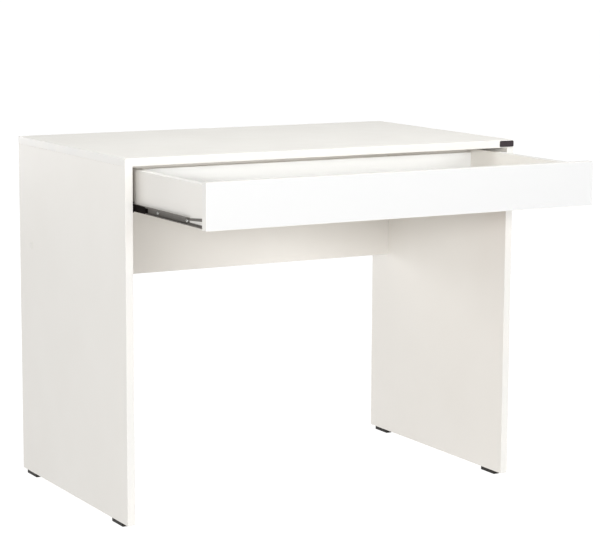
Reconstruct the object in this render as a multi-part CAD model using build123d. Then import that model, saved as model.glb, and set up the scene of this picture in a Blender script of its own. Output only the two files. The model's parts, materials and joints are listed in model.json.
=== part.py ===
from build123d import *
import os

# Writing desk with one drawer as wide as the desk: a top, two side panels and a modesty
# panel of white melamine board, and a drawer on side-mounted ball slides.
# Millimetres. The user sits at -Y, +X is to the user's right, +Z is up.
# The drawer is modelled fully open. The origin is on the floor, at the centre of the
# desk's footprint with the drawer open.

# ---- driving dimensions ----
WIDTH = 900.0
DEPTH = 540.0
HEIGHT = 730.0
TRAVEL = 302.0  # how far the drawer comes out
BOARD = 16.0  # thickness of every melamine board
EDGING = 0.8  # thickness of the plastic edging glued to the boards
EDGING_ROUND = 0.4  # radius of the edging's outer edges

FOOT = (14.0, 50.0, 8.0)
FOOT_SETBACK = (27.0, 20.0)  # from the front edge, and from the rear edge
FOOT_ROUND = 1.0

MODESTY_HEIGHT = 288.0
MODESTY_SETBACK = 54.0  # from the rear edge to the panel's rear face
MODESTY_DOWEL_DROP = 54.0  # below the underside of the top
MODESTY_SCREW_DROP = 210.0  # below the underside of the top

PLATE = (35.0, 0.8, 13.0)  # blank plate on the top's front edge
PLATE_ROUND = 3.0

FRONT_WIDTH = 860.0
FRONT_HEIGHT = 88.0
FRONT_TOP_GAP = 1.5
BOX_LENGTH = 395.0  # of the drawer sides
BOX_HEIGHT = 80.0
BOX_LIFT = 1.0  # of the drawer sides above the front's bottom edge
BACK_HEIGHT = 55.0
BOTTOM_LIFT = 14.0  # of the drawer bottom above the sides' bottom edges
BOTTOM_SHEET = 2.8
GROOVE_WIDTH = 3.0
GROOVE_DEPTH = 8.0
GROOVE_SPARE = 0.5  # between the sheet's edge and the groove's bottom

SLIDE_SPACE = 13.0  # between a side panel and the drawer side
SLIDE_LIFT = 8.0  # of the slide's centre line above the drawer side's bottom edge
SHEET = 1.0  # steel of the slide's two members
BEND_ROUND = 0.9  # outside the cabinet rail's bends
CABINET_RAIL_LENGTH = 395.0
CABINET_RAIL_SETBACK = 18.0
CABINET_RAIL_HALF = 10.4  # half its height
CABINET_RAIL_REACH = 11.0  # from the side panel towards the drawer
CABINET_LIP = 1.3
DRAWER_RAIL_LENGTH = 388.0
DRAWER_RAIL_GAP = 0.5  # between the drawer front and the rail's front end
DRAWER_RAIL_HALF = 6.2  # half its height, without the lips
DRAWER_RAIL_REACH = 7.0  # from the drawer side towards the side panel
DRAWER_LIP = 0.85
NOSE_LENGTH = 66.0  # forked front end of the drawer's rail
NOSE_SLOT = (-2.5, 1.1)  # bottom and top of the fork's slot, from the centre line
NOSE_TIP = (5.2, 11.8)  # the same for the front end of the fork's upper prong
NOSE_ROOT = 5.5  # top of that prong where it leaves the channel
NOSE_OVERLAP = 3.0  # of the upper prong and the channel behind it
LEVER_STEP = 244.0  # from the drawer's rail's front end to its release lever
LEVER_LENGTH = 55.0
LEVER_HALVES = (4.9, 6.9)  # half the height of the lever's body, and of its face plate
LEVER_FACE = 0.6  # thickness of the face plate
LEVER_ROUND = 1.5  # radius of the face plate's corners
LEVER_PIN_RADIUS = 1.5
BALL_RADIUS = 1.3
BALL_PLAY = 0.3  # between the balls and the drawer's rail
BALL_COUNT = 8  # in each of a slide's two rows
BALL_PITCH = 10.0
BALL_FROM_PANEL = 8.3
CAGE_SHEET = 0.6
CAGE_REACH = (2.2, 9.75)  # from the side panel: the cage's web, and its arms' ends
CAGE_HALF = 8.45
CAGE_SETBACK = 2.0  # from the cabinet rail's front end
BUMPER_LENGTH = 6.0
BUMPER_GAP = 0.5
BUMPER_HALF = 4.5
BUMPER_REACH = 8.0  # from the side panel
BUMPER_ROUND = 1.5

CAM_RADIUS = 7.4
CAM_DEPTH = 12.0
CAM_REACH = 34.0  # from the joint to the cam's centre
CAM_WAY = (3.9, 8.5)  # radius of the bolt's way into the cam, and its reach past the centre
CAM_RECESS = (8.0, 2.2)  # width and depth of the screwdriver's recess
BOLT_RADIUS = 3.0
BOLT_THREAD = 11.0
BOLT_POINT = 1.0  # length of the bolt's tapered end
BOLT_NECK = (1.8, 7.0)  # radius and length of the thin stretch that the cam grips
BOLT_HEAD = (3.4, 3.0)  # radius and length
BOLT_WAY_RADIUS = 3.6  # of the bore in the board's edge
DOWEL_RADIUS = 4.0
DOWEL_ENDS = (20.0, 10.0)  # in the board's edge, and in the board's face
DOWEL_CHAMFER = 1.0
PLAY = 0.05  # of a pin or screw in its hole, on the radius
BORE_OVER = 0.5  # how much deeper a bore is than what sits in it
CAP_RADIUS = 7.0
CAP_HEIGHT = 0.8
CAP_STEM = (1.5, 3.0)  # radius and length of the pin behind the cap

MODESTY_SCREW = {"head_radius": 5.0, "radius": 3.4, "length": 50.0}
BACK_SCREW = {"head_radius": 3.5, "radius": 2.4, "length": 50.0}
SOCKET_SINK = 1.0  # of a long screw's head below the board's face
SOCKET_HEAD = 3.0
SOCKET_DEPTH = 2.4
FOOT_SCREW = {"head_radius": 3.5, "radius": 1.75, "length": 24.0, "sink": 1.0}
CABINET_RAIL_SCREW = {"head_radius": 3.5, "radius": 1.75, "length": 14.0}
DRAWER_RAIL_SCREW = {"head_radius": 3.7, "head_height": 2.2, "radius": 1.75, "length": 14.0}
BOTTOM_SCREW = {"head_radius": 3.0, "head_height": 1.6, "radius": 1.5, "length": 16.0}
SCREW_TIP = 3.0  # length of a screw's pointed end
TIP_TAPER = 0.25  # radius of that point's end, as a share of the screw's
RECESS_WIDTH = 1.1  # of a cross recess, as a share of the head's radius
RECESS_DEPTH = 0.45
RECESS_ARM = 0.28  # width of the recess's arms, as a share of its width
PAN_ROUND = 0.6  # rounding of a pan head or cap, as a share of its height

# places of the fittings
TOP_CAM_SETBACKS = (64.0, 416.0)  # from the front plane
TOP_DOWEL_SETBACKS = (32.0, 448.0)
MODESTY_CAM_X = (-250.0, 250.0)
DRAWER_CAM_LIFT = 46.5  # above the drawer sides' bottom edges
DRAWER_DOWEL_LIFTS = (25.5, 67.5)
BACK_SCREW_LIFTS = (15.0, 41.0)  # above the drawer back's bottom edge
BOTTOM_SCREW_X = (-320.0, -160.0, 0.0, 160.0, 320.0)
FOOT_SCREW_OFFSET = 15.0
CABINET_SCREW_STEPS = (37.0, 197.0, 357.0)  # from the rail's front end
DRAWER_SCREW_STEPS = (73.0, 198.0, 334.0)  # from the rail's front end

# ---- derived positions ----
HALF = WIDTH / 2
INNER = HALF - BOARD  # inner face of a side panel, from the middle
FRONT = -(DEPTH - TRAVEL) / 2  # front plane of the desk
REAR = FRONT + DEPTH
TOP_UNDER = HEIGHT - BOARD
PANEL_BOTTOM = FOOT[2]
MODESTY_Y = REAR - MODESTY_SETBACK - BOARD / 2  # middle of the modesty panel
MODESTY_BOTTOM = TOP_UNDER - MODESTY_HEIGHT
DRAWER = FRONT - TRAVEL  # outer face of the open drawer's front
BOX_START = DRAWER + BOARD
BOX_END = BOX_START + BOX_LENGTH
FRONT_TOP = TOP_UNDER - FRONT_TOP_GAP
FRONT_BOTTOM = FRONT_TOP - FRONT_HEIGHT
BOX_OUT = INNER - SLIDE_SPACE  # outer face of a drawer side
BOX_IN = BOX_OUT - BOARD
BOX_BOTTOM = FRONT_BOTTOM + BOX_LIFT
BOX_TOP = BOX_BOTTOM + BOX_HEIGHT
GROOVE_BOTTOM = BOX_BOTTOM + BOTTOM_LIFT
SHEET_BOTTOM = GROOVE_BOTTOM + (GROOVE_WIDTH - BOTTOM_SHEET) / 2
BACK_BOTTOM = GROOVE_BOTTOM + GROOVE_WIDTH
BACK_TOP = BACK_BOTTOM + BACK_HEIGHT
SLIDE_Z = BOX_BOTTOM + SLIDE_LIFT
CABINET_RAIL_START = FRONT + CABINET_RAIL_SETBACK
DRAWER_RAIL_START = BOX_START + DRAWER_RAIL_GAP
CAGE_START = CABINET_RAIL_START + CAGE_SETBACK


# ---- helpers ----
def block(x, y, z):
    """Box between the lowest and highest x, y and z."""
    centre = Pos((x[0] + x[1]) / 2, (y[0] + y[1]) / 2, (z[0] + z[1]) / 2)
    return centre * Box(x[1] - x[0], y[1] - y[0], z[1] - z[0])


def rod(radius, start, end):
    """Cylinder on the local Z axis, from start to end."""
    return Pos(0, 0, (start + end) / 2) * Cylinder(radius, end - start)


def taper(radius_start, radius_end, start, end):
    """Cone on the local Z axis, from start to end."""
    return Pos(0, 0, (start + end) / 2) * Cone(radius_start, radius_end, end - start)


def cross_recess(size, start, end):
    """Cross-shaped recess of a screw head, from start to end on the local Z axis."""
    arm = (-size / 2, size / 2)
    slot = (-size * RECESS_ARM / 2, size * RECESS_ARM / 2)
    return block(arm, slot, (start, end)) + block(slot, arm, (start, end))


def at(origin, z_axis, x_axis=None):
    """Location whose local Z points along z_axis."""
    return Plane(origin=origin, x_dir=x_axis, z_dir=z_axis).location


def cut(shape, tools):
    """Shape with every tool taken away."""
    for tool in tools:
        shape = shape - tool
    return shape


def edging(x, y, z, axis, outermost):
    """Edging strip whose outer face, at the low (0) or high (-1) end of axis, is rounded."""
    strip = block(x, y, z)
    outer_face = strip.faces().sort_by(axis)[outermost]
    return fillet(outer_face.edges(), EDGING_ROUND)


def both_sides(shape):
    """A piece on the left of the desk, and its mirror image on the right."""
    return [shape, mirror(shape, about=Plane.YZ)]


def on_side(side_name, shape):
    """A piece made on the left of the desk, or its mirror image."""
    return both_sides(shape)[0 if side_name == "left" else 1]


parts = {}


def add(name, shapes):
    """Keep a node made of one solid, or of a list of separate solids."""
    if isinstance(shapes, list):
        solids = [solid for shape in shapes for solid in shape.solids()]
        parts[name] = Compound(children=solids)
    else:
        parts[name] = shapes


# ---- fittings, each on its own local Z axis ----
def cam_lock():
    """Cam lock: face at 0, body below, open along +X for the bolt's head."""
    way_radius, way_end = CAM_WAY
    bolt_way = Pos(0, 0, -BOARD / 2) * Rot(0, 90, 0) * rod(way_radius, -BOLT_HEAD[0], way_end)
    recess_width, recess_depth = CAM_RECESS
    return rod(CAM_RADIUS, -CAM_DEPTH, 0) - bolt_way - cross_recess(recess_width, -recess_depth, 0)


def cam_bolt():
    """Bolt of a cam lock: thread above the joint at 0, shank, neck and head below it."""
    neck_radius, neck_length = BOLT_NECK
    head_radius, head_length = BOLT_HEAD
    head_end = -CAM_REACH + head_length / 2
    neck_end = head_end + neck_length
    point = taper(BOLT_RADIUS, neck_radius, BOLT_THREAD - BOLT_POINT, BOLT_THREAD)
    shank = rod(BOLT_RADIUS, neck_end, BOLT_THREAD - BOLT_POINT)
    neck = rod(neck_radius, head_end, neck_end)
    return point + shank + neck + rod(head_radius, head_end - head_length, head_end)


def cam_joint(origin, into, face):
    """Cam lock, bolt and their bores: into points into the bolt's board, face out of the cam's."""
    bolt_place = at(origin, into)
    cam_origin = Vector(*origin) - Vector(*into) * CAM_REACH + Vector(*face) * (BOARD / 2)
    cam_place = at(cam_origin, face, into)
    bores = [
        bolt_place * rod(BOLT_RADIUS + PLAY, 0, BOLT_THREAD + BORE_OVER),
        bolt_place * rod(BOLT_WAY_RADIUS, -CAM_REACH, 0),
        cam_place * rod(CAM_RADIUS + PLAY, -CAM_DEPTH - BORE_OVER, 0),
    ]
    return cam_place * cam_lock(), bolt_place * cam_bolt(), bores


def dowel_joint(origin, into):
    """Dowel and its bore, with the short end along into."""
    place = at(origin, into)
    edge_end, face_end = DOWEL_ENDS
    dowel = rod(DOWEL_RADIUS, -edge_end, face_end)
    dowel = chamfer(dowel.edges().filter_by(GeomType.CIRCLE), DOWEL_CHAMFER)
    bore = rod(DOWEL_RADIUS + PLAY, -edge_end - BORE_OVER, face_end + BORE_OVER)
    return place * dowel, [place * bore]


def pointed_shank(radius, start, end):
    """Plain shank of a screw, with its point."""
    point_start = end - SCREW_TIP
    return rod(radius, start, point_start) + taper(radius, radius * TIP_TAPER, point_start, end)


def long_screw(origin, into, head_radius, radius, length):
    """Long screw with a sunk hexagon-socket head, and its bores, driven along into."""
    place = at(origin, into)
    head_end = SOCKET_SINK + SOCKET_HEAD
    hexagon = RegularPolygon(head_radius / 2, 6, major_radius=False)
    socket = Pos(0, 0, SOCKET_SINK) * extrude(hexagon, amount=SOCKET_DEPTH)
    body = rod(head_radius, SOCKET_SINK, head_end) + pointed_shank(radius, head_end, length)
    bores = [
        place * rod(head_radius + PLAY, 0, head_end),
        place * rod(radius + PLAY, 0, length + BORE_OVER),
    ]
    return place * (body - socket), bores


def flat_screw(origin, into, head_radius, radius, length, sink=0.0):
    """Countersunk cross-head screw and its bores, driven along into."""
    place = at(origin, into)
    head_end = sink + head_radius - radius
    body = taper(head_radius, radius, sink, head_end) + pointed_shank(radius, head_end, length)
    recess_end = sink + head_radius * RECESS_DEPTH
    body = body - cross_recess(head_radius * RECESS_WIDTH, sink, recess_end)
    bores = [
        place * taper(head_radius + PLAY, radius + PLAY, sink, head_end),
        place * rod(radius + PLAY, 0, length + BORE_OVER),
    ]
    if sink:
        bores.append(place * rod(head_radius + PLAY, 0, sink))
    return place * body, bores


def pan_screw(origin, into, head_radius, head_height, radius, length):
    """Pan-head cross-head screw and its bore, driven along into."""
    place = at(origin, into)
    head = rod(head_radius, -head_height, 0)
    head = fillet(head.edges().sort_by(Axis.Z)[0], head_height * PAN_ROUND)
    recess_end = head_radius * RECESS_DEPTH - head_height
    body = head + pointed_shank(radius, 0, length)
    body = body - cross_recess(head_radius * RECESS_WIDTH, -head_height, recess_end)
    return place * body, [place * rod(radius + PLAY, 0, length + BORE_OVER)]


# ---- joints between top, side panels and modesty panel ----
top_cams, top_bolts, top_dowels, top_bores = [], [], [], []
for setback in TOP_CAM_SETBACKS:
    for side in (-1, 1):
        origin = (side * (HALF - BOARD / 2), FRONT + setback, TOP_UNDER)
        cam, bolt, bores = cam_joint(origin, (0, 0, 1), (-side, 0, 0))
        top_cams.append(cam)
        top_bolts.append(bolt)
        top_bores += bores
for setback in TOP_DOWEL_SETBACKS:
    for side in (-1, 1):
        origin = (side * (HALF - BOARD / 2), FRONT + setback, TOP_UNDER)
        dowel, bores = dowel_joint(origin, (0, 0, 1))
        top_dowels.append(dowel)
        top_bores += bores

modesty_cams, modesty_bolts, modesty_bores = [], [], []
for x in MODESTY_CAM_X:
    cam, bolt, bores = cam_joint((x, MODESTY_Y, TOP_UNDER), (0, 0, 1), (0, 1, 0))
    modesty_cams.append(cam)
    modesty_bolts.append(bolt)
    modesty_bores += bores

modesty_dowels, modesty_screws, cover_caps = [], [], []
end_bores = []
for side in (-1, 1):
    dowel_z = TOP_UNDER - MODESTY_DOWEL_DROP
    dowel, bores = dowel_joint((side * INNER, MODESTY_Y, dowel_z), (side, 0, 0))
    modesty_dowels.append(dowel)
    end_bores += bores
    screw_origin = (side * HALF, MODESTY_Y, TOP_UNDER - MODESTY_SCREW_DROP)
    screw, bores = long_screw(screw_origin, (-side, 0, 0), **MODESTY_SCREW)
    modesty_screws.append(screw)
    end_bores += bores
    cap = rod(CAP_RADIUS, -CAP_HEIGHT, 0)
    cap = fillet(cap.edges().sort_by(Axis.Z)[0], CAP_HEIGHT * PAN_ROUND)
    stem_radius, stem_length = CAP_STEM
    cap = cap + rod(stem_radius, 0, stem_length)
    cover_caps.append(at(screw_origin, (-side, 0, 0)) * cap)

add("top_cam_locks", top_cams)
add("top_cam_bolts", top_bolts)
add("top_dowels", top_dowels)
add("modesty_cam_locks", modesty_cams)
add("modesty_cam_bolts", modesty_bolts)
add("modesty_dowels", modesty_dowels)
add("modesty_screws", modesty_screws)
add("screw_cover_caps", cover_caps)

# ---- feet and their screws ----
foot_screws, foot_bores = [], []
for y_name in ("front", "rear"):
    for x_name in ("left", "right"):
        x = (HALF - BOARD / 2) * (-1 if x_name == "left" else 1)
        if y_name == "front":
            y = FRONT + FOOT_SETBACK[0] + FOOT[1] / 2
        else:
            y = REAR - FOOT_SETBACK[1] - FOOT[1] / 2
        foot = Pos(x, y, FOOT[2] / 2) * Box(*FOOT)
        side_and_bottom = foot.edges() - foot.faces().sort_by(Axis.Z)[-1].edges()
        foot = fillet(side_and_bottom, FOOT_ROUND)
        own_bores = []
        for step in (-FOOT_SCREW_OFFSET, FOOT_SCREW_OFFSET):
            screw, bores = flat_screw((x, y + step, 0), (0, 0, 1), **FOOT_SCREW)
            foot_screws.append(screw)
            own_bores += bores
        foot_bores += own_bores
        add(f"{y_name}_{x_name}_foot", cut(foot, own_bores))
add("foot_screws", foot_screws)

# ---- slides: made on the left, then mirrored ----
def slide_section(points):
    """Closed outline of (distance from the side panel, height from the centre line)."""
    return Plane.XZ * Polygon(*points, align=None)


def along(section, start, length):
    """Section extruded towards the rear from start, on the left slide's centre line."""
    return Pos(-INNER, start, SLIDE_Z) * extrude(section, amount=-length)


def cabinet_rail():
    """Lipped channel, open towards the drawer."""
    half = CABINET_RAIL_HALF
    inside = half - SHEET
    lip_end = inside - CABINET_LIP
    reach = CABINET_RAIL_REACH
    upper = [
        (SHEET, inside),
        (reach - SHEET, inside),
        (reach - SHEET, lip_end),
        (reach, lip_end),
        (reach, half),
        (0, half),
    ]
    lower = [(u, -w) for u, w in reversed(upper)]
    channel = along(slide_section(upper + lower), CABINET_RAIL_START, CABINET_RAIL_LENGTH)
    bends = channel.edges().filter_by(Axis.Y)
    outer = [edge for edge in bends if abs(edge.center().Z - SLIDE_Z) > inside + SHEET / 2]
    return fillet(outer, BEND_ROUND)


def drawer_rail():
    """Channel open towards the side panel, lips turned outwards, with a forked front end."""
    half = DRAWER_RAIL_HALF
    back = SLIDE_SPACE
    mouth = SLIDE_SPACE - DRAWER_RAIL_REACH
    upper = [
        (back, half),
        (mouth + SHEET, half),
        (mouth + SHEET, half + DRAWER_LIP),
        (mouth, half + DRAWER_LIP),
        (mouth, half - SHEET),
        (back - SHEET, half - SHEET),
    ]
    lower = [(u, -w) for u, w in reversed(upper)]
    rail = along(slide_section(upper + lower), DRAWER_RAIL_START, DRAWER_RAIL_LENGTH)

    rail_place = Pos(-INNER, DRAWER_RAIL_START, SLIDE_Z)
    slot_bottom, slot_top = NOSE_SLOT
    slot_middle = (slot_bottom + slot_top) / 2
    above_slot = block((0, SLIDE_SPACE), (0, NOSE_LENGTH), (slot_bottom, half + DRAWER_LIP))
    slot_end = Pos(0, NOSE_LENGTH, slot_middle) * Rot(0, 90, 0)
    slot_end = slot_end * rod((slot_top - slot_bottom) / 2, 0, SLIDE_SPACE)
    rail = rail - rail_place * above_slot - rail_place * slot_end

    tip_bottom, tip_top = NOSE_TIP
    prong_outline = [
        (NOSE_LENGTH + NOSE_OVERLAP, slot_top),
        (NOSE_LENGTH, slot_top),
        (0, tip_bottom),
        (0, tip_top),
        (NOSE_LENGTH, NOSE_ROOT),
        (NOSE_LENGTH + NOSE_OVERLAP, NOSE_ROOT),
    ]
    prong_face = Plane.YZ * Polygon(*prong_outline, align=None)
    prong = extrude(prong_face, amount=SHEET, dir=(1, 0, 0))
    return rail + rail_place * Pos(back - SHEET, 0, 0) * prong


def release_lever():
    """Moulded lever that fills the drawer rail's channel and covers its lips, and its pin's bore."""
    start = DRAWER_RAIL_START + LEVER_STEP
    reach = (start, start + LEVER_LENGTH)
    web = -BOX_OUT - SHEET
    mouth = -BOX_OUT - DRAWER_RAIL_REACH
    body_half, face_half = LEVER_HALVES
    body = block((mouth, web), reach, (SLIDE_Z - body_half, SLIDE_Z + body_half))
    face = block((mouth - LEVER_FACE, mouth), reach, (SLIDE_Z - face_half, SLIDE_Z + face_half))
    face = fillet(face.edges().filter_by(Axis.X), LEVER_ROUND)
    pin_place = at((web, start + LEVER_LENGTH / 2, SLIDE_Z), (1, 0, 0))
    pin = pin_place * rod(LEVER_PIN_RADIUS, 0, SHEET)
    return body + face + pin, pin_place * rod(LEVER_PIN_RADIUS + PLAY, 0, SHEET)


def ball_places():
    """Centre of each ball of the left slide."""
    first = CAGE_START + BALL_PITCH / 2
    height = DRAWER_RAIL_HALF + BALL_PLAY + BALL_RADIUS
    steps = range(BALL_COUNT)
    x = -INNER + BALL_FROM_PANEL
    return [(x, first + BALL_PITCH * i, SLIDE_Z + row * height) for row in (-1, 1) for i in steps]


def ball_cage():
    """Thin channel between the two rails that keeps the balls apart."""
    web, end = CAGE_REACH
    inside = CAGE_HALF - CAGE_SHEET
    outline = [
        (web, -CAGE_HALF),
        (end, -CAGE_HALF),
        (end, -inside),
        (web + CAGE_SHEET, -inside),
        (web + CAGE_SHEET, inside),
        (end, inside),
        (end, CAGE_HALF),
        (web, CAGE_HALF),
    ]
    cage = along(slide_section(outline), CAGE_START, BALL_COUNT * BALL_PITCH)
    hole = Cylinder(BALL_RADIUS + PLAY, 4 * CAGE_SHEET)
    holes = [Pos(*place) * hole for place in ball_places()]
    return cut(cage, holes)


def bumper():
    """Rubber stop across the rear end of the cabinet rail."""
    closed_rail_end = DRAWER_RAIL_START + DRAWER_RAIL_LENGTH + TRAVEL
    start = closed_rail_end + BUMPER_GAP
    x = (-INNER + SHEET, -INNER + BUMPER_REACH)
    z = (SLIDE_Z - BUMPER_HALF, SLIDE_Z + BUMPER_HALF)
    stop = block(x, (start, start + BUMPER_LENGTH), z)
    return fillet(stop.edges().filter_by(Axis.X), BUMPER_ROUND)


cabinet_screws, cabinet_bores = [], []
for step in CABINET_SCREW_STEPS:
    origin = (-INNER + SHEET, CABINET_RAIL_START + step, SLIDE_Z)
    screw, bores = flat_screw(origin, (-1, 0, 0), **CABINET_RAIL_SCREW)
    cabinet_screws += both_sides(screw)
    for bore in bores:
        cabinet_bores += both_sides(bore)

drawer_rail_screws, drawer_rail_bores = [], []
for step in DRAWER_SCREW_STEPS:
    origin = (-BOX_OUT - SHEET, DRAWER_RAIL_START + step, SLIDE_Z)
    screw, bores = pan_screw(origin, (1, 0, 0), **DRAWER_RAIL_SCREW)
    drawer_rail_screws += both_sides(screw)
    for bore in bores:
        drawer_rail_bores += both_sides(bore)

left_cabinet_rail = cut(cabinet_rail(), cabinet_bores)
lever, lever_bore = release_lever()
left_drawer_rail = cut(drawer_rail(), drawer_rail_bores + [lever_bore])
cage = ball_cage()
balls = [Pos(*place) * Sphere(BALL_RADIUS) for place in ball_places()]
for x_name in ("left", "right"):
    add(f"{x_name}_cabinet_rail", on_side(x_name, left_cabinet_rail))
    add(f"{x_name}_drawer_rail", on_side(x_name, left_drawer_rail))
    add(f"{x_name}_ball_cage", on_side(x_name, cage))
    add(f"{x_name}_balls", [on_side(x_name, ball) for ball in balls])
add("cabinet_rail_screws", cabinet_screws)
add("drawer_rail_screws", drawer_rail_screws)
add("rail_bumpers", both_sides(bumper()))
add("release_levers", both_sides(lever))

# ---- desk boards and their edging ----
inner_y = (FRONT + EDGING, REAR - EDGING)
top_z = (TOP_UNDER, HEIGHT)
top_panel = block((-HALF + EDGING, HALF - EDGING), inner_y, top_z)
add("top_panel", cut(top_panel, top_bores + modesty_bores))
add(
    "top_edging",
    [
        edging((-HALF, HALF), (FRONT, FRONT + EDGING), top_z, Axis.Y, 0),
        edging((-HALF, HALF), (REAR - EDGING, REAR), top_z, Axis.Y, -1),
        edging((-HALF, -HALF + EDGING), inner_y, top_z, Axis.X, 0),
        edging((HALF - EDGING, HALF), inner_y, top_z, Axis.X, -1),
    ],
)

side_z = (PANEL_BOTTOM, TOP_UNDER)
side_panel_bores = top_bores + end_bores + foot_bores + cabinet_bores
for x_name, x in (("left", (-HALF, -INNER)), ("right", (INNER, HALF))):
    add(f"{x_name}_side_panel", cut(block(x, inner_y, side_z), side_panel_bores))
    front_strip = edging(x, (FRONT, FRONT + EDGING), side_z, Axis.Y, 0)
    rear_strip = edging(x, (REAR - EDGING, REAR), side_z, Axis.Y, -1)
    add(f"{x_name}_side_edging", [front_strip, rear_strip])

modesty_x = (-INNER, INNER)
modesty_y = (MODESTY_Y - BOARD / 2, MODESTY_Y + BOARD / 2)
modesty = block(modesty_x, modesty_y, (MODESTY_BOTTOM + EDGING, TOP_UNDER))
add("modesty_panel", cut(modesty, modesty_bores + end_bores))
add("modesty_edging", edging(modesty_x, modesty_y, (MODESTY_BOTTOM, MODESTY_BOTTOM + EDGING), Axis.Z, 0))

plate_z = HEIGHT - BOARD / 2
plate = Pos(HALF - PLATE[0] / 2, FRONT - PLATE[1] / 2, plate_z) * Box(*PLATE)
add("blank_edge_plate", fillet(plate.edges().filter_by(Axis.Y), PLATE_ROUND))

# ---- drawer ----
drawer_cams, drawer_bolts, drawer_dowels, back_screws = [], [], [], []
joint_bores, back_bores = [], []
for side in (-1, 1):
    middle = side * (BOX_OUT - BOARD / 2)
    origin = (middle, BOX_START, BOX_BOTTOM + DRAWER_CAM_LIFT)
    cam, bolt, bores = cam_joint(origin, (0, -1, 0), (-side, 0, 0))
    drawer_cams.append(cam)
    drawer_bolts.append(bolt)
    joint_bores += bores
    for lift in DRAWER_DOWEL_LIFTS:
        dowel, bores = dowel_joint((middle, BOX_START, BOX_BOTTOM + lift), (0, -1, 0))
        drawer_dowels.append(dowel)
        joint_bores += bores
    for lift in BACK_SCREW_LIFTS:
        origin = (side * BOX_OUT, BOX_END - BOARD / 2, BACK_BOTTOM + lift)
        screw, bores = long_screw(origin, (-side, 0, 0), **BACK_SCREW)
        back_screws.append(screw)
        back_bores += bores

bottom_screws, bottom_bores = [], []
for x in BOTTOM_SCREW_X:
    origin = (x, BOX_END - BOARD / 2, SHEET_BOTTOM)
    screw, bores = pan_screw(origin, (0, 0, 1), **BOTTOM_SCREW)
    bottom_screws.append(screw)
    bottom_bores += bores

add("drawer_cam_locks", drawer_cams)
add("drawer_cam_bolts", drawer_bolts)
add("drawer_dowels", drawer_dowels)
add("drawer_back_screws", back_screws)
add("drawer_bottom_screws", bottom_screws)

groove_reach = BOX_IN + GROOVE_DEPTH
groove_y = (BOX_START - GROOVE_DEPTH, BOX_END)
groove_z = (GROOVE_BOTTOM, GROOVE_BOTTOM + GROOVE_WIDTH)
groove = block((-groove_reach, groove_reach), groove_y, groove_z)

front_half = FRONT_WIDTH / 2
front_y = (DRAWER, BOX_START)
front_core_z = (FRONT_BOTTOM + EDGING, FRONT_TOP - EDGING)
front = block((-front_half + EDGING, front_half - EDGING), front_y, front_core_z)
add("drawer_front", cut(front, joint_bores + [groove]))
add(
    "drawer_front_edging",
    [
        edging((-front_half, front_half), front_y, (FRONT_TOP - EDGING, FRONT_TOP), Axis.Z, -1),
        edging((-front_half, front_half), front_y, (FRONT_BOTTOM, FRONT_BOTTOM + EDGING), Axis.Z, 0),
        edging((-front_half, -front_half + EDGING), front_y, front_core_z, Axis.X, 0),
        edging((front_half - EDGING, front_half), front_y, front_core_z, Axis.X, -1),
    ],
)

side_y = (BOX_START, BOX_END)
side_bores = joint_bores + back_bores + drawer_rail_bores + [groove]
box_strips = []
for x_name, x in (("left", (-BOX_OUT, -BOX_IN)), ("right", (BOX_IN, BOX_OUT))):
    side_board = block(x, side_y, (BOX_BOTTOM, BOX_TOP - EDGING))
    add(f"drawer_{x_name}_side", cut(side_board, side_bores))
    box_strips.append(edging(x, side_y, (BOX_TOP - EDGING, BOX_TOP), Axis.Z, -1))

back_x = (-BOX_IN, BOX_IN)
back_y = (BOX_END - BOARD, BOX_END)
back = block(back_x, back_y, (BACK_BOTTOM, BACK_TOP - EDGING))
add("drawer_back", cut(back, back_bores + bottom_bores))
box_strips.append(edging(back_x, back_y, (BACK_TOP - EDGING, BACK_TOP), Axis.Z, -1))
add("drawer_box_edging", box_strips)

sheet_x = (-groove_reach + GROOVE_SPARE, groove_reach - GROOVE_SPARE)
sheet_y = (BOX_START - GROOVE_DEPTH + GROOVE_SPARE, BOX_END)
sheet_z = (SHEET_BOTTOM, SHEET_BOTTOM + BOTTOM_SHEET)
add("drawer_bottom", cut(block(sheet_x, sheet_y, sheet_z), bottom_bores))

# ---- write one file for each node ----
os.makedirs("parts", exist_ok=True)
for name, shape in parts.items():
    export_step(shape, f"parts/{name}.step")
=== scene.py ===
import json
import math

import bpy
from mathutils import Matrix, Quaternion, Vector

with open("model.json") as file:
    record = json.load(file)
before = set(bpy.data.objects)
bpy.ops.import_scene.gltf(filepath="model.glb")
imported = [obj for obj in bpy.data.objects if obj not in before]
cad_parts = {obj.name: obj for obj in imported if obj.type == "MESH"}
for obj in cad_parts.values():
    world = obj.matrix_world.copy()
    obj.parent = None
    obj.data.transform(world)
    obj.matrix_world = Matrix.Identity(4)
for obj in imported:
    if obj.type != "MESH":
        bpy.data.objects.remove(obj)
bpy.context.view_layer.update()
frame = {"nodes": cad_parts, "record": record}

# Metres, degrees and watts. The desk's own sizes are read from the frame.
MILLIMETRE = 0.001

CAMERA_LENS = 125.75  # millimetres, on Blender's 36 mm sensor
CAMERA_AZIMUTH = -29.43
CAMERA_ELEVATION = 8.84
CAMERA_ROLL = 0.28
CAMERA_DISTANCE = 4.3
CAMERA_AIM = Vector((-0.024, -0.0445, 0.4667))

ROOM_LIGHT = 0.28  # strength of the room's white as it lights the desk
BACKDROP = 1.05  # and as the camera sees it
FLOOR_HALF = 30.0
FLOOR_GLOW = (0.88, 1.0)  # emission as it lights the desk, and as the camera sees it

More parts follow.
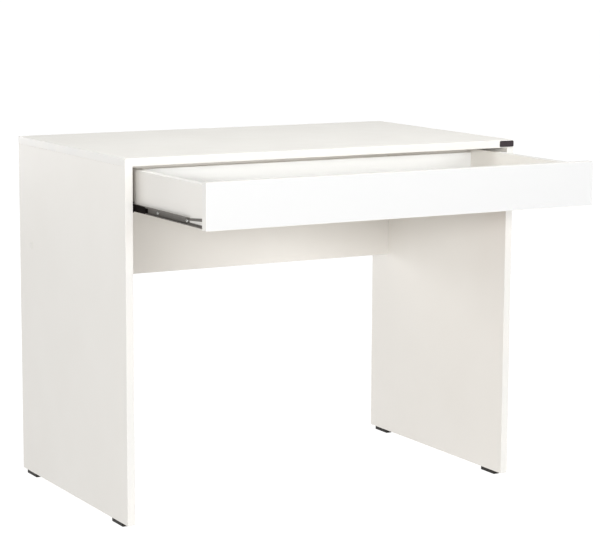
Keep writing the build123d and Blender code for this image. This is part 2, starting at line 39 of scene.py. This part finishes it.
# name, centre, aim, width and height, power, colour
SOFTBOXES = [
    ("left_softbox", (-4.5, -5.4, 1.64), (0.0, 0.0, 0.6), (2.9, 0.7), 262.0, (0.97, 0.985, 1.0)),
    ("right_softbox", (2.2, -6.6, 1.75), (0.0, 0.0, 0.6), (2.9, 1.2), 100.0, (0.95, 0.98, 1.0)),
    ("overhead_softbox", (0.1, -0.7, 3.2), (0.0, 0.0, 0.7), (2.2, 3.0), 94.0, (0.97, 0.99, 1.0)),
    ("rear_softbox", (-0.7, 4.5, 0.9), (0.0, 0.3, 0.4), (1.8, 1.3), 60.0, (1.0, 1.0, 1.0)),
]

# Linear colours
WHITE_BOARD = (0.775, 0.748, 0.704)
WHITE_BOARD_SHADE = (0.760, 0.732, 0.686)
WHITE_EDGING = (0.732, 0.718, 0.690)
# painted shade: the drawer front's white is darker than the boards' white, to hold down the light
# the front softboxes put on it
DRAWER_FRONT_WHITE_WITH_PAINTED_SHADE = (0.655, 0.648, 0.640)
# painted light: the drawer back's white is far brighter than the boards' white, to stand in for
# light that hardly reaches inside the drawer
DRAWER_BACK_WHITE_WITH_PAINTED_LIGHT = (0.93, 0.93, 0.92)
CHIP_LIGHT = (0.56, 0.40, 0.24)
CHIP_MIDDLE = (0.40, 0.26, 0.14)
CHIP_DARK = (0.17, 0.095, 0.045)
FIBRE_LIGHT = (0.30, 0.185, 0.095)
FIBRE_DARK = (0.20, 0.115, 0.055)
COAT_DARK = (0.118, 0.107, 0.094)
COAT_RUBBED = (0.150, 0.139, 0.124)
BALL_DARK = (0.55, 0.55, 0.56)
BALL_LIGHT = (0.66, 0.66, 0.67)
BEECH_DARK = (0.36, 0.22, 0.12)
BEECH_LIGHT = (0.58, 0.40, 0.25)
FLOOR_DARK = (0.115, 0.115, 0.115)
FLOOR_LIGHT = (0.125, 0.125, 0.125)
WHITE = (1.0, 1.0, 1.0)

CHIP_FLATNESS = 3.2  # how much wider a flake is than it is thick
CHIP_WANDER, CHIP_FLAKE = 0.45, 0.7  # weights of slow change and of single flakes in the tone
CORE_ROUGHNESS = 0.85
PEBBLE_SHARE = 0.03  # height of the melamine's texture, as a share of the raw core's
PAINT_SMOOTHNESS = 0.32  # how much less rough the hardboard's paint is than its fibre
ZINC_CLOUD, ZINC_SPANGLE = 0.65, 0.35  # weights of clouds and of single crystals in the tone
FLECK_DARKNESS = 0.25  # how much a fleck takes from the beech's tone
FACING_COSINE = 0.7  # from here on a surface counts as facing an axis

# the axis across each melamine board
BOARD_AXIS = {
    "top_panel": "Z",
    "left_side_panel": "X",
    "right_side_panel": "X",
    "modesty_panel": "Y",
    "drawer_left_side": "X",
    "drawer_right_side": "X",
}


# ---- shader nodes ----
class Look:
    """A material built round one Principled shader. Each call adds a node and gives its output."""

    def __init__(self, name):
        self.material = bpy.data.materials.new(name)
        self.material.use_nodes = True
        self.tree = self.material.node_tree
        self.shader = self.tree.nodes["Principled BSDF"]

    def feed(self, socket, value):
        """Link an output to socket, or set a number or colour on it."""
        if isinstance(value, bpy.types.NodeSocket):
            self.tree.links.new(value, socket)
        elif isinstance(value, tuple) and socket.type == "RGBA":
            socket.default_value = (*value, 1.0)
        else:
            socket.default_value = value

    def node(self, kind, settings=None, **inputs):
        made = self.tree.nodes.new(kind)
        for name, value in (settings or {}).items():
            setattr(made, name, value)
        for name, value in inputs.items():
            self.feed(made.inputs[name.replace("_", " ")], value)
        return made

    def place(self, scale=(1.0, 1.0, 1.0)):
        """Position in the row frame, in metres, stretched by scale."""
        where = self.node("ShaderNodeTexCoord").outputs["Object"]
        return self.node("ShaderNodeMapping", Vector=where, Scale=scale).outputs["Vector"]

    def math(self, operation, *values):
        made = self.node("ShaderNodeMath", {"operation": operation})
        for socket, value in zip(made.inputs, values):
            self.feed(socket, value)
        return made.outputs["Value"]

    def noise(self, place, grain, detail=3.0, roughness=0.55, distortion=0.0):
        """Noise whose largest features measure about grain."""
        made = self.node(
            "ShaderNodeTexNoise",
            Vector=place,
            Scale=1.0 / grain,
            Detail=detail,
            Roughness=roughness,
            Distortion=distortion,
        )
        return made.outputs["Fac"]

    def cells(self, place, grain, feature="F1", output="Distance"):
        """Voronoi cells about grain across."""
        settings = {"feature": feature}
        made = self.node("ShaderNodeTexVoronoi", settings, Vector=place, Scale=1.0 / grain)
        return made.outputs[output]

    def ramp(self, factor, *stops):
        """Colours by factor. stops are (factor, colour)."""
        made = self.node("ShaderNodeValToRGB", Fac=factor)
        elements = made.color_ramp.elements
        while len(elements) < len(stops):
            elements.new(1.0)
        for element, (position, colour) in zip(elements, stops):
            element.position = position
            element.color = (*colour, 1.0)
        return made.outputs["Color"]

    def between(self, value, low, high, low_out=0.0, high_out=1.0):
        """value from low to high, turned into low_out to high_out and clamped."""
        made = self.node("ShaderNodeMapRange")
        for socket, number in zip(made.inputs, (value, low, high, low_out, high_out)):
            self.feed(socket, number)
        return made.outputs["Result"]

    def mix(self, factor, first, second):
        """first at factor 0, second at factor 1."""
        made = self.node("ShaderNodeMix", {"data_type": "RGBA"})
        colour_inputs = [socket for socket in made.inputs if socket.type == "RGBA"]
        for socket, value in zip([made.inputs[0], *colour_inputs], (factor, first, second)):
            self.feed(socket, value)
        return next(socket for socket in made.outputs if socket.type == "RGBA")

    def bump(self, height, depth):
        """Normal of a surface whose height from 0 to 1 stands for depth in metres."""
        return self.node("ShaderNodeBump", Height=height, Distance=depth).outputs["Normal"]

    def split(self, vector):
        return self.node("ShaderNodeSeparateXYZ", Vector=vector).outputs

    def normal_along(self, axis):
        """The surface normal's share along axis, from -1 to 1."""
        normal = self.node("ShaderNodeNewGeometry").outputs["True Normal"]
        return self.split(normal)["XYZ".index(axis)]

    def done(self, **inputs):
        for name, value in inputs.items():
            self.feed(self.shader.inputs[name.replace("_", " ")], value)
        return self.material


# ---- materials ----
def chipboard(look, axis):
    """Colour and height of a raw chipboard edge. Its flakes lie flat in the board."""
    place = look.place(tuple(CHIP_FLATNESS if name == axis else 1.0 for name in "XYZ"))
    wander = look.noise(place, 6 * MILLIMETRE, detail=4.0)
    flake = look.cells(place, 3.4 * MILLIMETRE, output="Color")
    soft_tone = look.math("MULTIPLY", wander, CHIP_WANDER)
    tone = look.math("MULTIPLY_ADD", look.split(flake)[0], CHIP_FLAKE, soft_tone)
    colour = look.ramp(tone, (0.1, CHIP_DARK), (0.38, CHIP_MIDDLE), (0.85, CHIP_LIGHT))
    pit = look.cells(place, 2.1 * MILLIMETRE)
    return colour, look.math("ADD", tone, pit)


def melamine(name, axis, light, shade):
    """White melamine facing across axis, and the board's raw core where nothing covers it."""
    look = Look(name)
    place = look.place()
    cloud = look.noise(place, 180 * MILLIMETRE, detail=2.0)
    white = look.mix(look.between(cloud, 0.35, 0.7), light, shade)
    core, core_height = chipboard(look, axis)
    across = look.math("ABSOLUTE", look.normal_along(axis))
    faced = look.math("GREATER_THAN", across, FACING_COSINE)
    colour = look.mix(faced, core, white)

    haze = look.noise(place, 60 * MILLIMETRE, detail=5.0)
    face_roughness = look.between(haze, 0.3, 0.75, 0.36, 0.46)
    step = look.math("SUBTRACT", face_roughness, CORE_ROUGHNESS)
    rough = look.math("MULTIPLY_ADD", faced, step, CORE_ROUGHNESS)

    pebble = look.cells(place, 1.1 * MILLIMETRE, feature="SMOOTH_F1")
    height = look.mix(faced, core_height, look.math("MULTIPLY", pebble, PEBBLE_SHARE))
    normal = look.bump(height, 0.4 * MILLIMETRE)
    return look.done(Base_Color=colour, Roughness=rough, Normal=normal)


def plastic_edging(name):
    """Satin plastic edging, finer than the boards."""
    look = Look(name)
    place = look.place()
    cloud = look.noise(place, 90 * MILLIMETRE)
    colour = look.mix(look.between(cloud, 0.3, 0.75), WHITE_EDGING, WHITE_BOARD)
    grain = look.noise(place, 0.6 * MILLIMETRE, detail=2.0)
    rough = look.between(look.noise(place, 25 * MILLIMETRE), 0.3, 0.7, 0.3, 0.4)
    normal = look.bump(grain, 0.012 * MILLIMETRE)
    return look.done(Base_Color=colour, Roughness=rough, Normal=normal)


def hardboard(name):
    """Thin hardboard: white paint on top, brown pressed fibre below and at its edges."""
    look = Look(name)
    place = look.place()
    top = look.math("GREATER_THAN", look.normal_along("Z"), FACING_COSINE)
    fibre = look.noise(place, 1.6 * MILLIMETRE, detail=6.0, roughness=0.7, distortion=1.5)
    brown = look.ramp(fibre, (0.3, FIBRE_DARK), (0.7, FIBRE_LIGHT))
    cloud = look.noise(place, 120 * MILLIMETRE)
    white = look.mix(cloud, WHITE_BOARD, WHITE_BOARD_SHADE)
    colour = look.mix(top, brown, white)
    fibre_roughness = look.between(fibre, 0.3, 0.7, 0.7, 0.85)
    rough = look.math("MULTIPLY_ADD", top, -PAINT_SMOOTHNESS, fibre_roughness)
    normal = look.bump(fibre, 0.03 * MILLIMETRE)
    return look.done(Base_Color=colour, Roughness=rough, Normal=normal)


def coated_steel(name):
    """Black electro-coated sheet steel: satin, with fine rolling lines and rubbed places."""
    look = Look(name)
    lines = look.noise(look.place((1.0, 0.02, 1.0)), 0.5 * MILLIMETRE, detail=2.0)
    rubbed = look.noise(look.place((1.0, 0.25, 1.0)), 9 * MILLIMETRE, detail=5.0)
    colour = look.ramp(rubbed, (0.35, COAT_DARK), (0.8, COAT_RUBBED))
    rough = look.between(look.math("ADD", lines, rubbed), 0.6, 1.4, 0.42, 0.6)
    normal = look.bump(lines, 0.01 * MILLIMETRE)
    return look.done(Base_Color=colour, Roughness=rough, Specular_IOR_Level=0.3, Normal=normal)


def zinc(name, light, dark, low, high):
    """Cloudy grey metal with a fine grain. low and high are its roughness."""
    look = Look(name)
    place = look.place()
    cloud = look.noise(place, 2.5 * MILLIMETRE, detail=4.0)
    spangle = look.cells(place, 0.8 * MILLIMETRE, output="Color")
    cloud_tone = look.math("MULTIPLY", cloud, ZINC_CLOUD)
    tone = look.math("MULTIPLY_ADD", look.split(spangle)[0], ZINC_SPANGLE, cloud_tone)
    colour = look.ramp(tone, (0.2, dark), (0.75, light))
    grain = look.noise(place, 0.3 * MILLIMETRE)
    rough = look.between(cloud, 0.3, 0.7, low, high)
    normal = look.bump(grain, 0.015 * MILLIMETRE)
    return look.done(Base_Color=colour, Metallic=1.0, Roughness=rough, Normal=normal)


def polished_steel(name):
    """Bearing balls: bright steel with the faintest haze."""
    look = Look(name)
    haze = look.noise(look.place(), 0.7 * MILLIMETRE, detail=4.0)
    colour = look.ramp(haze, (0.3, BALL_DARK), (0.7, BALL_LIGHT))
    rough = look.between(haze, 0.3, 0.7, 0.08, 0.16)
    return look.done(Base_Color=colour, Metallic=1.0, Roughness=rough)


def moulded(name, light, dark, roughness, grain_size, grain_depth, specular):
    """Moulded plastic or rubber. Its spark-eroded grain's size and depth are in millimetres."""
    look = Look(name)
    place = look.place()
    cloud = look.noise(place, 14 * MILLIMETRE, detail=4.0)
    colour = look.ramp(cloud, (0.3, dark), (0.72, light))
    grain = look.cells(place, grain_size * MILLIMETRE, feature="SMOOTH_F1")
    rough = look.between(cloud, 0.3, 0.7, *roughness)
    normal = look.bump(grain, grain_depth * MILLIMETRE)
    return look.done(Base_Color=colour, Roughness=rough, Specular_IOR_Level=specular, Normal=normal)


def beech(name):
    """Beech dowels: pale straight grain with short dark flecks."""
    look = Look(name)
    grain = look.noise(look.place((3.0, 3.0, 1.0)), 2.5 * MILLIMETRE, detail=5.0)
    fleck = look.cells(look.place(), 1.2 * MILLIMETRE)
    tone = look.math("MULTIPLY_ADD", fleck, -FLECK_DARKNESS, grain)
    colour = look.ramp(tone, (0.2, BEECH_DARK), (0.65, BEECH_LIGHT))
    rough = look.between(grain, 0.3, 0.7, 0.55, 0.7)
    normal = look.bump(tone, 0.05 * MILLIMETRE)
    return look.done(Base_Color=colour, Roughness=rough, Normal=normal)


def slot_materials():
    """One material for each of the record's slots, but for the boards."""
    return {
        "white_edging": plastic_edging("white_edging_plastic"),
        "hardboard": hardboard("painted_hardboard"),
        "black_plastic": moulded(
            name="black_foot_plastic",
            light=(0.020, 0.017, 0.013),
            dark=(0.010, 0.009, 0.007),
            roughness=(0.42, 0.6),
            grain_size=0.5,
            grain_depth=0.03,
            specular=0.25,
        ),
        "white_plastic": moulded(
            name="white_cap_plastic",
            light=(0.740, 0.713, 0.670),
            dark=(0.720, 0.693, 0.650),
            roughness=(0.35, 0.5),
            grain_size=0.4,
            grain_depth=0.008,
            specular=0.5,
        ),
        "dark_plate": moulded(
            name="dark_plate_plastic",
            light=(0.030, 0.018, 0.022),
            dark=(0.018, 0.011, 0.014),
            roughness=(0.14, 0.26),
            grain_size=1.5,
            grain_depth=0.006,
            specular=0.5,
        ),
        "black_rubber": moulded(
            name="black_rubber",
            light=(0.025, 0.025, 0.025),
            dark=(0.015, 0.015, 0.015),
            roughness=(0.7, 0.85),
            grain_size=0.3,
            grain_depth=0.03,
            specular=0.3,
        ),
        "black_steel": coated_steel("black_coated_steel"),
        "zinc_steel": zinc("zinc_plated_steel", (0.62, 0.62, 0.60), (0.42, 0.42, 0.41), 0.24, 0.4),
        "die_cast": zinc("die_cast_zinc", (0.45, 0.45, 0.44), (0.30, 0.30, 0.30), 0.4, 0.58),
        "ball_steel": polished_steel("bearing_ball_steel"),
        "beech": beech("beech_dowel"),
    }


def node_materials():
    """Materials that go by a node's name and not by its slot."""
    boards = {
        axis: melamine(f"melamine_board_{axis.lower()}", axis, WHITE_BOARD, WHITE_BOARD_SHADE)
        for axis in "XYZ"
    }
    own = {node: boards[axis] for node, axis in BOARD_AXIS.items()}
    # the drawer front's melamine carries painted shade and the drawer back's melamine carries
    # painted light
    for node, white in (("drawer_front", DRAWER_FRONT_WHITE_WITH_PAINTED_SHADE), ("drawer_back", DRAWER_BACK_WHITE_WITH_PAINTED_LIGHT)):
        own[node] = melamine(f"melamine_{node}", "Y", white, white)
    own["release_levers"] = moulded(
        name="matt_black_lever_plastic",
        light=(0.009, 0.007, 0.006),
        dark=(0.005, 0.004, 0.0035),
        roughness=(0.7, 0.85),
        grain_size=0.5,
        grain_depth=0.02,
        specular=0.05,
    )
    return own


def dress():
    """Give every CAD node its material."""
    by_slot, by_node = slot_materials(), node_materials()
    for part in frame["record"]["subparts"]:
        node = part["node"]
        material = by_node[node] if node in by_node else by_slot[part["material_slot"]]
        for slot in frame["nodes"][node].material_slots:
            slot.material = material


# ---- studio ----
def floor():
    """Plain pale floor, far larger than the view."""
    mesh = bpy.data.meshes.new("studio_floor")
    corners = [(x * FLOOR_HALF, y * FLOOR_HALF, 0) for x, y in ((-1, -1), (1, -1), (1, 1), (-1, 1))]
    mesh.from_pydata(corners, [], [(0, 1, 2, 3)])
    plane = bpy.data.objects.new("studio_floor", mesh)
    bpy.context.collection.objects.link(plane)
    look = Look("studio_floor_white")
    colour = look.mix(look.noise(look.place(), 0.4, detail=2.0), FLOOR_DARK, FLOOR_LIGHT)
    seen = look.node("ShaderNodeLightPath").outputs["Is Camera Ray"]
    material = look.done(
        Base_Color=colour,
        Roughness=0.9,
        Specular_IOR_Level=0.0,
        Emission_Color=WHITE,
        Emission_Strength=look.between(seen, 0.0, 1.0, *FLOOR_GLOW),
    )
    mesh.materials.append(material)


def softbox(name, centre, aim, size, power, colour):
    """Rectangular area light at centre, facing aim."""
    light = bpy.data.lights.new(name, "AREA")
    light.shape = "RECTANGLE"
    light.size, light.size_y = size
    light.energy = power
    light.color = colour
    lamp = bpy.data.objects.new(name, light)
    bpy.context.collection.objects.link(lamp)
    lamp.location = centre
    lamp.rotation_mode = "QUATERNION"
    lamp.rotation_quaternion = (Vector(aim) - Vector(centre)).to_track_quat("-Z", "Y")


def studio():
    """White room light and the softboxes."""
    world = bpy.data.worlds.new("studio_world")
    bpy.context.scene.world = world
    world.use_nodes = True
    nodes, links = world.node_tree.nodes, world.node_tree.links
    background = nodes["Background"]
    background.inputs["Color"].default_value = (*WHITE, 1.0)
    seen = nodes.new("ShaderNodeLightPath").outputs["Is Camera Ray"]
    strength = nodes.new("ShaderNodeMapRange")
    strength.inputs["To Min"].default_value = ROOM_LIGHT
    strength.inputs["To Max"].default_value = BACKDROP
    links.new(seen, strength.inputs["Value"])
    links.new(strength.outputs["Result"], background.inputs["Strength"])
    for settings in SOFTBOXES:
        softbox(*settings)
    bpy.context.scene.view_settings.view_transform = "Standard"


def camera():
    """Camera at the desk's front left, a little above its top."""
    azimuth, elevation = math.radians(CAMERA_AZIMUTH), math.radians(CAMERA_ELEVATION)
    back = Vector((
        math.sin(azimuth) * math.cos(elevation),
        -math.cos(azimuth) * math.cos(elevation),
        math.sin(elevation),
    ))
    data = bpy.data.cameras.new("camera")
    data.lens = CAMERA_LENS
    made = bpy.data.objects.new("camera", data)
    bpy.context.collection.objects.link(made)
    made.location = CAMERA_AIM + back * CAMERA_DISTANCE
    made.rotation_mode = "QUATERNION"
    roll = Quaternion((0.0, 0.0, 1.0), math.radians(CAMERA_ROLL))
    made.rotation_quaternion = (-back).to_track_quat("-Z", "Y") @ roll
    bpy.context.scene.camera = made


dress()
floor()
studio()
camera()
